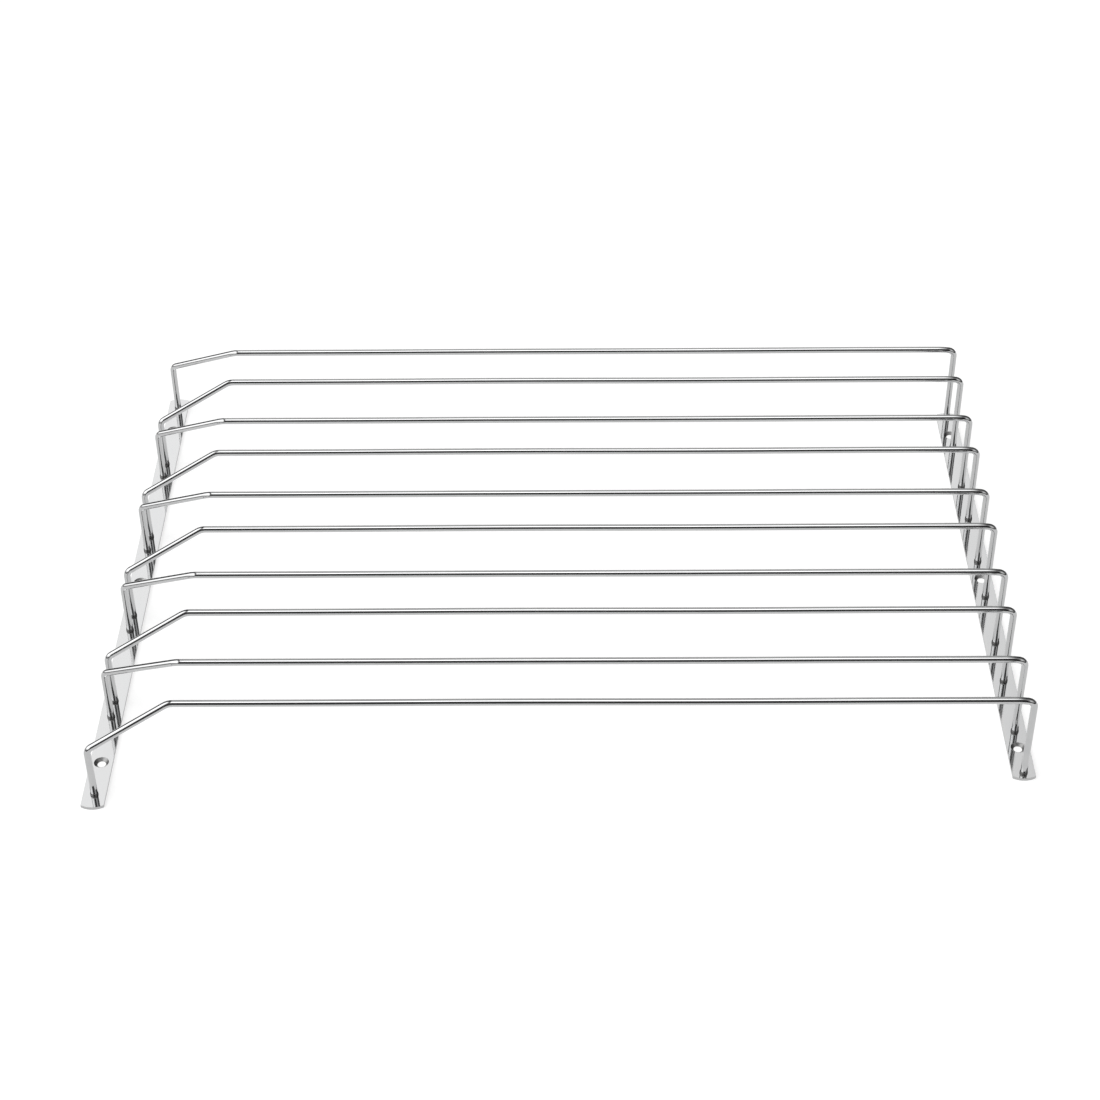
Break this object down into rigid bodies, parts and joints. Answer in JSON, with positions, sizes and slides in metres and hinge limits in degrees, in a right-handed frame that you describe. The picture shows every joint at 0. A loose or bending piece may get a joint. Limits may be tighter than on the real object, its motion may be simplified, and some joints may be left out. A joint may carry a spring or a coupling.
{
  "type": "stemware hanging rack",
  "caption": "Under-shelf hanging rack for stemmed glasses: bent chrome wires with flared entry ends, welded to flat mounting strips with countersunk screw holes.",
  "frame": {"origin": "in the plane of the strips' undersides, below the middle of the rack", "axes": "+X along the wires from the flared entry end to the rear end, +Y across the rows, +Z from the strips towards the wires; in use the rack is turned over, so +Z points down"},
  "size_m": [0.61, 0.4484, 0.067],
  "materials": {
    "polished_strip": "bright chrome plating on flat steel strip, mirror smooth, with fine rolling marks along it",
    "chrome_wire": "bright chrome plating on drawn round wire, mirror smooth, slightly uneven at the bends",
    "weld_bead": "plated over the weld, darker and rougher than the wire"
  },
  "bodies": {
    "root": {"entry_mounting_strip": "polished_strip", "rear_mounting_strip": "polished_strip", "row_1_left_wire": "chrome_wire", "row_1_right_wire": "chrome_wire", "row_2_left_wire": "chrome_wire", "row_2_right_wire": "chrome_wire", "row_3_left_wire": "chrome_wire", "row_3_right_wire": "chrome_wire", "row_4_left_wire": "chrome_wire", "row_4_right_wire": "chrome_wire", "row_5_left_wire": "chrome_wire", "row_5_right_wire": "chrome_wire", "row_1_left_entry_weld": "weld_bead", "row_1_left_rear_weld": "weld_bead", "row_1_right_entry_weld": "weld_bead", "row_1_right_rear_weld": "weld_bead", "row_2_left_entry_weld": "weld_bead", "row_2_left_rear_weld": "weld_bead", "row_2_right_entry_weld": "weld_bead", "row_2_right_rear_weld": "weld_bead", "row_3_left_entry_weld": "weld_bead", "row_3_left_rear_weld": "weld_bead", "row_3_right_entry_weld": "weld_bead", "row_3_right_rear_weld": "weld_bead", "row_4_left_entry_weld": "weld_bead", "row_4_left_rear_weld": "weld_bead", "row_4_right_entry_weld": "weld_bead", "row_4_right_rear_weld": "weld_bead", "row_5_left_entry_weld": "weld_bead", "row_5_left_rear_weld": "weld_bead", "row_5_right_entry_weld": "weld_bead", "row_5_right_rear_weld": "weld_bead"}
  },
  "joints": []
}
